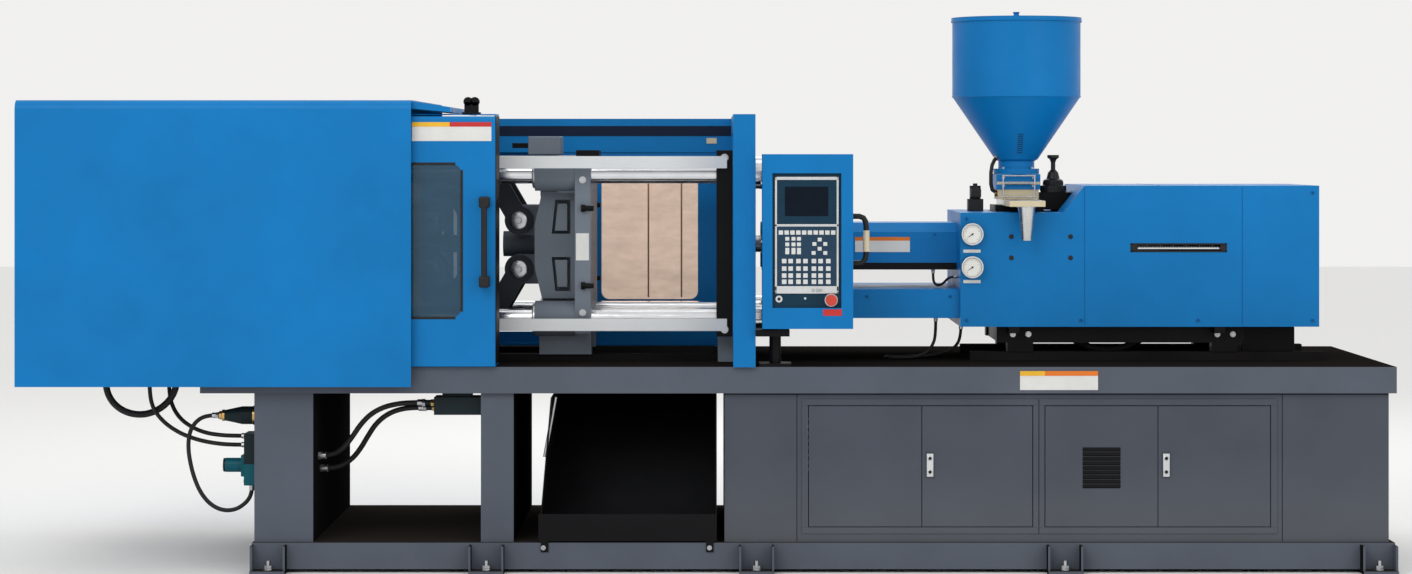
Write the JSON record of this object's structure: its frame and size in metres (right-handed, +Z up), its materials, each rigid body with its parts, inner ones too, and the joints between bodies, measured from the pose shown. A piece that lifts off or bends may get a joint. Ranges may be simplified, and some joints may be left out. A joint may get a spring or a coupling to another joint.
{
  "type": "injection moulding machine",
  "caption": "Horizontal toggle-clamp injection moulding machine with sliding guards, tie-bar platens, injection unit, hopper, control panel and welded base.",
  "frame": {"origin": "middle of the four corner floor anchor holes, at floor level", "axes": "+X along the machine from the clamp towards the injection unit, +Y from the operator's side to the rear, +Z up"},
  "size_m": [5.17, 1.406, 2.129],
  "materials": {
    "blue_paint": "satin",
    "bed_paint": "satin",
    "black_paint": "satin",
    "white_rail": "satin",
    "cast_paint": "painted",
    "chrome_bar": "polished",
    "ground_steel": "ground",
    "stainless": "brushed",
    "clear_pane": "clear",
    "bronze_pane": "tinted",
    "black_plastic": "matte",
    "red_plastic": "gloss",
    "rubber_hose": "matte",
    "valve_mix": "satin",
    "cream_flange": "satin",
    "motor_paint": "satin"
  },
  "bodies": {
    "bed": {"base_frame": "bed_paint", "cabinet_shell": "bed_paint", "bed_deck": "bed_paint", "chute": "black_paint", "pump_set": "motor_paint", "electrical_rack": "black_plastic", "valve_group": "valve_mix", "rear_cover": "blue_paint", "guard_portal": "blue_paint", "gate_rails": "white_rail", "fixed_platen": "cast_paint", "tie_bars": "chrome_bar", "guide_ways": "ground_steel", "panel_stand": "black_paint", "hose_drain": "rubber_hose", "hose_pilot_a": "rubber_hose", "hose_pilot_b": "rubber_hose", "hose_loop": "rubber_hose", "hose_under_a": "rubber_hose", "hose_under_b": "rubber_hose"},
    "front_guard": {"front_gate": "blue_paint", "gate_window": "clear_pane", "gate_handle": "black_plastic"},
    "rear_guard": {"rear_gate": "blue_paint", "rear_window": "bronze_pane"},
    "tail": {"tail_platen": "cast_paint", "clamp_cylinder": "cast_paint"},
    "rear_link_up": {"rear_links_upper": "cast_paint"},
    "front_link_up": {"front_links_upper": "cast_paint"},
    "rear_link_low": {"rear_links_lower": "cast_paint"},
    "front_link_low": {"front_links_lower": "cast_paint"},
    "cross_link_up": {"crosshead_links_upper": "cast_paint"},
    "cross_link_low": {"crosshead_links_lower": "cast_paint"},
    "cross": {"crosshead": "ground_steel"},
    "platen": {"moving_platen": "cast_paint"},
    "ejector_plate": {"ejector": "ground_steel"},
    "panel": {"control_box": "blue_paint"},
    "stop_button": {"e_stop": "red_plastic"},
    "cover_a": {"door_a": "bed_paint"},
    "cover_b": {"door_b": "bed_paint"},
    "cover_c": {"door_c": "bed_paint"},
    "cover_d": {"door_d": "bed_paint"},
    "carriage": {"carriage_frame": "black_paint", "injection_housing": "blue_paint", "injection_cylinders": "ground_steel", "barrel": "ground_steel", "barrel_guard": "blue_paint", "beam_cover": "blue_paint", "drain_chute": "stainless", "gauges": "black_plastic", "barrel_cable": "rubber_hose", "deck_cable": "rubber_hose", "carriage_hose": "rubber_hose"},
    "drive": {"injection_drive": "cast_paint"},
    "screw_body": {"screw": "ground_steel"},
    "feeder": {"hopper": "blue_paint", "hopper_base": "cream_flange"},
    "lid": {"hopper_lid": "blue_paint"},
    "feed_gate": {"shutoff_gate": "stainless"},
    "knob": {"valve_knob": "black_plastic"}
  },
  "joints": [
    {"name": "front_gate_slide", "type": "slide", "parent": "bed", "child": "front_guard", "axis": [1, 0, 0], "range_m": [0, 0.87]},
    {"name": "rear_gate_slide", "type": "slide", "parent": "bed", "child": "rear_guard", "axis": [-1, 0, 0], "range_m": [0, 0.6]},
    {"name": "mould_height", "type": "slide", "parent": "bed", "child": "tail", "axis": [1, 0, 0], "range_m": [-0.15, 0.06]},
    {"name": "toggle_fold", "type": "hinge", "parent": "tail", "child": "rear_link_up", "pos_m": [-1.52, 0, 1.31], "axis": [0, 1, 0], "range_deg": [0, 56]},
    {"name": "knee_upper", "type": "hinge", "parent": "rear_link_up", "child": "front_link_up", "pos_m": [-1.345, 0, 1.61311], "axis": [0, 1, 0], "range_deg": [-112, 0]},
    {"name": "platen_pivot", "type": "hinge", "parent": "front_link_up", "child": "platen", "pos_m": [-1.17, 0, 1.31], "axis": [0, 1, 0], "range_deg": [0, 56]},
    {"name": "toggle_lower", "type": "hinge", "parent": "tail", "child": "rear_link_low", "pos_m": [-1.52, 0, 1.12], "axis": [0, 1, 0], "range_deg": [-56, 0]},
    {"name": "knee_lower", "type": "hinge", "parent": "rear_link_low", "child": "front_link_low", "pos_m": [-1.345, 0, 0.81689], "axis": [0, 1, 0], "range_deg": [0, 112]},
    {"name": "crosshead_link_upper", "type": "hinge", "parent": "rear_link_up", "child": "cross_link_up", "pos_m": [-1.445, 0, 1.4399], "axis": [0, 1, 0], "range_deg": [-112, 0]},
    {"name": "crosshead_pivot", "type": "hinge", "parent": "cross_link_up", "child": "cross", "pos_m": [-1.37, 0, 1.31], "axis": [0, 1, 0], "range_deg": [0, 56]},
    {"name": "crosshead_link_lower", "type": "hinge", "parent": "rear_link_low", "child": "cross_link_low", "pos_m": [-1.445, 0, 0.9901], "axis": [0, 1, 0], "range_deg": [0, 112]},
    {"name": "ejector_slide", "type": "slide", "parent": "platen", "child": "ejector_plate", "axis": [1, 0, 0], "range_m": [0, 0.08]},
    {"name": "panel_swivel", "type": "hinge", "parent": "bed", "child": "panel", "pos_m": [-0.18, -0.56, 0.93], "axis": [0, 0, 1], "range_deg": [0, 35]},
    {"name": "stop_push", "type": "slide", "parent": "panel", "child": "stop_button", "axis": [0, 1, 0], "range_m": [0, 0.006]},
    {"name": "door_a_hinge", "type": "hinge", "parent": "bed", "child": "cover_a", "pos_m": [-0.043, -0.596, 0.4], "axis": [0, 0, -1], "range_deg": [0, 90]},
    {"name": "door_b_hinge", "type": "hinge", "parent": "bed", "child": "cover_b", "pos_m": [0.774, -0.596, 0.4], "axis": [0, 0, 1], "range_deg": [0, 90]},
    {"name": "door_c_hinge", "type": "hinge", "parent": "bed", "child": "cover_c", "pos_m": [0.845, -0.596, 0.4], "axis": [0, 0, -1], "range_deg": [0, 90]},
    {"name": "door_d_hinge", "type": "hinge", "parent": "bed", "child": "cover_d", "pos_m": [1.667, -0.596, 0.4], "axis": [0, 0, 1], "range_deg": [0, 90]},
    {"name": "carriage_slide", "type": "slide", "parent": "bed", "child": "carriage", "axis": [1, 0, 0], "range_m": [0, 0.2]},
    {"name": "injection_stroke", "type": "slide", "parent": "carriage", "child": "drive", "axis": [1, 0, 0], "range_m": [0, 0.2]},
    {"name": "screw_spin", "type": "hinge", "parent": "drive", "child": "screw_body", "pos_m": [1.25, 0, 1.215], "axis": [1, 0, 0], "continuous": true},
    {"name": "hopper_slide", "type": "slide", "parent": "carriage", "child": "feeder", "axis": [0, -1, 0], "range_m": [0, 0.4]},
    {"name": "lid_lift", "type": "slide", "parent": "feeder", "child": "lid", "axis": [0, 0, 1], "range_m": [0, 0.3]},
    {"name": "feed_gate_slide", "type": "slide", "parent": "feeder", "child": "feed_gate", "axis": [0, -1, 0], "range_m": [0, 0.08]},
    {"name": "knob_turn", "type": "hinge", "parent": "carriage", "child": "knob", "pos_m": [0.929, 0, 1.5], "axis": [0, 0, 1], "range_deg": [0, 90]}
  ],
  "couplings": [
    {"joint": "knee_upper", "follows": "toggle_fold", "ratio": -2},
    {"joint": "platen_pivot", "follows": "toggle_fold", "ratio": 1},
    {"joint": "toggle_lower", "follows": "toggle_fold", "ratio": -1},
    {"joint": "knee_lower", "follows": "toggle_fold", "ratio": 2},
    {"joint": "crosshead_link_upper", "follows": "toggle_fold", "ratio": -2},
    {"joint": "crosshead_pivot", "follows": "toggle_fold", "ratio": 1},
    {"joint": "crosshead_link_lower", "follows": "toggle_fold", "ratio": 2}
  ]
}
